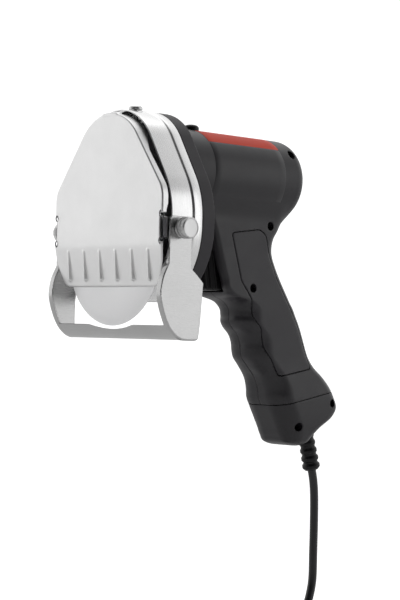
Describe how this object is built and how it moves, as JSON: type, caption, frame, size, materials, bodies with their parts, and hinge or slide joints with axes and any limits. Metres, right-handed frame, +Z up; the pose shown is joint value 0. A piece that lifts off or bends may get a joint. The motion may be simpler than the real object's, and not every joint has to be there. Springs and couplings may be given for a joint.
{
  "type": "electric kebab slicer",
  "caption": "Hand-held electric meat slicer with a round blade behind a ribbed, tilting slice plate, a swinging guard, a geared motor in a pistol grip, and a coiled mains lead.",
  "frame": {"origin": "middle of the grip, where the hand holds it", "axes": "+X to the slicer's right as its user holds it, +Y from the slice plate back towards the motor and the user, +Z up, parallel to the head"},
  "size_m": [0.1837, 0.235, 0.4224],
  "materials": {
    "satin_steel": "satin pressed sheet",
    "bright_steel": "fine turned",
    "spring_steel": "drawn wire",
    "black_plastic": "fine spark-eroded grain",
    "black_rubber": "matte",
    "grey_plastic": "plain moulded",
    "copper": "enamelled wire",
    "laminated_iron": "stacked sheet",
    "film_yellow": "wrapped film"
  },
  "bodies": {
    "slicer_body": {"drum": "satin_steel", "idler_pin": "bright_steel", "case_screw_1": "bright_steel", "case_screw_2": "bright_steel", "case_screw_3": "bright_steel", "case_screw_4": "bright_steel", "front_bearing": "bright_steel", "rear_bearing": "bright_steel", "clamp_nut": "bright_steel", "housing_screw_1": "bright_steel", "housing_screw_2": "bright_steel", "housing_screw_3": "bright_steel", "cap_screw_1": "bright_steel", "cap_screw_2": "bright_steel", "motor_bearing_front": "bright_steel", "motor_bearing_rear": "bright_steel", "plug_pins": "bright_steel", "trigger_spring": "spring_steel", "lock_spring": "spring_steel", "gear_case": "black_plastic", "housing_right": "black_plastic", "housing_left": "black_plastic", "end_cap": "black_plastic", "grip_panel_right": "black_rubber", "grip_panel_left": "black_rubber", "strain_relief": "black_rubber", "mains_lead": "black_rubber", "lead_coil": "black_rubber", "coil_tie": "black_rubber", "plug_body": "black_rubber", "gear_cover": "grey_plastic", "rear_bearing_bridge": "grey_plastic", "switch_body": "grey_plastic", "lock_guide": "grey_plastic", "terminal_block": "grey_plastic", "cord_clamp": "grey_plastic", "field_coils": "copper", "stator": "laminated_iron", "carbon_brush_right": "laminated_iron", "carbon_brush_left": "laminated_iron", "suppressor": "film_yellow"},
    "blade_set": {"blade": "satin_steel", "blade_nut": "bright_steel", "spindle": "bright_steel", "output_gear": "laminated_iron"},
    "idler": {"idler_gear": "laminated_iron"},
    "rotor": {"motor_shaft": "bright_steel", "armature": "laminated_iron", "armature_windings": "copper", "commutator": "copper", "fan": "grey_plastic"},
    "plate": {"slice_plate": "satin_steel", "plate_spring_right": "spring_steel", "plate_spring_left": "spring_steel"},
    "guard": {"guard_bracket": "satin_steel"},
    "knob_right": {"thumb_knob_right": "bright_steel"},
    "knob_left": {"thumb_knob_left": "bright_steel"},
    "clamp": {"clamp_screw": "bright_steel"},
    "trigger_key": {"trigger": "black_plastic"},
    "lock_key": {"lock_button": "black_plastic"}
  },
  "joints": [
    {"name": "motor_spin", "type": "hinge", "parent": "slicer_body", "child": "rotor", "pos_m": [0, -0.048, 0.126], "axis": [0, 1, 0], "continuous": true},
    {"name": "idler_spin", "type": "hinge", "parent": "slicer_body", "child": "idler", "pos_m": [0, -0.126, 0.093], "axis": [0, 1, 0], "continuous": true},
    {"name": "blade_spin", "type": "hinge", "parent": "slicer_body", "child": "blade_set", "pos_m": [0, -0.1603, 0.06], "axis": [0, 1, 0], "continuous": true},
    {"name": "plate_tilt", "type": "hinge", "parent": "slicer_body", "child": "plate", "pos_m": [0, -0.1523, 0.079], "axis": [1, 0, 0], "range_deg": [-4, 0]},
    {"name": "guard_swing", "type": "hinge", "parent": "slicer_body", "child": "guard", "pos_m": [0, -0.1523, 0.079], "axis": [1, 0, 0], "range_deg": [-95, 12]},
    {"name": "knob_right_turn", "type": "hinge", "parent": "slicer_body", "child": "knob_right", "pos_m": [0, -0.1523, 0.079], "axis": [1, 0, 0], "range_deg": [0, 360]},
    {"name": "knob_left_turn", "type": "hinge", "parent": "slicer_body", "child": "knob_left", "pos_m": [0, -0.1523, 0.079], "axis": [-1, 0, 0], "range_deg": [0, 360]},
    {"name": "clamp_turn", "type": "hinge", "parent": "slicer_body", "child": "clamp", "pos_m": [0, -0.143, 0.164], "axis": [0, 0, 1], "range_deg": [0, 360]},
    {"name": "trigger_pull", "type": "slide", "parent": "slicer_body", "child": "trigger_key", "axis": [0, 1, 0], "range_m": [0, 0.005], "stiffness_N_per_m": 900, "springref_m": -0.004, "deforming": ["trigger_spring"]},
    {"name": "lock_press", "type": "slide", "parent": "slicer_body", "child": "lock_key", "axis": [0, 0, -1], "range_m": [0, 0.003], "stiffness_N_per_m": 700, "springref_m": -0.003, "deforming": ["lock_spring"]}
  ],
  "couplings": [
    {"joint": "idler_spin", "follows": "motor_spin", "ratio": -0.22222},
    {"joint": "blade_spin", "follows": "motor_spin", "ratio": 0.083333}
  ]
}
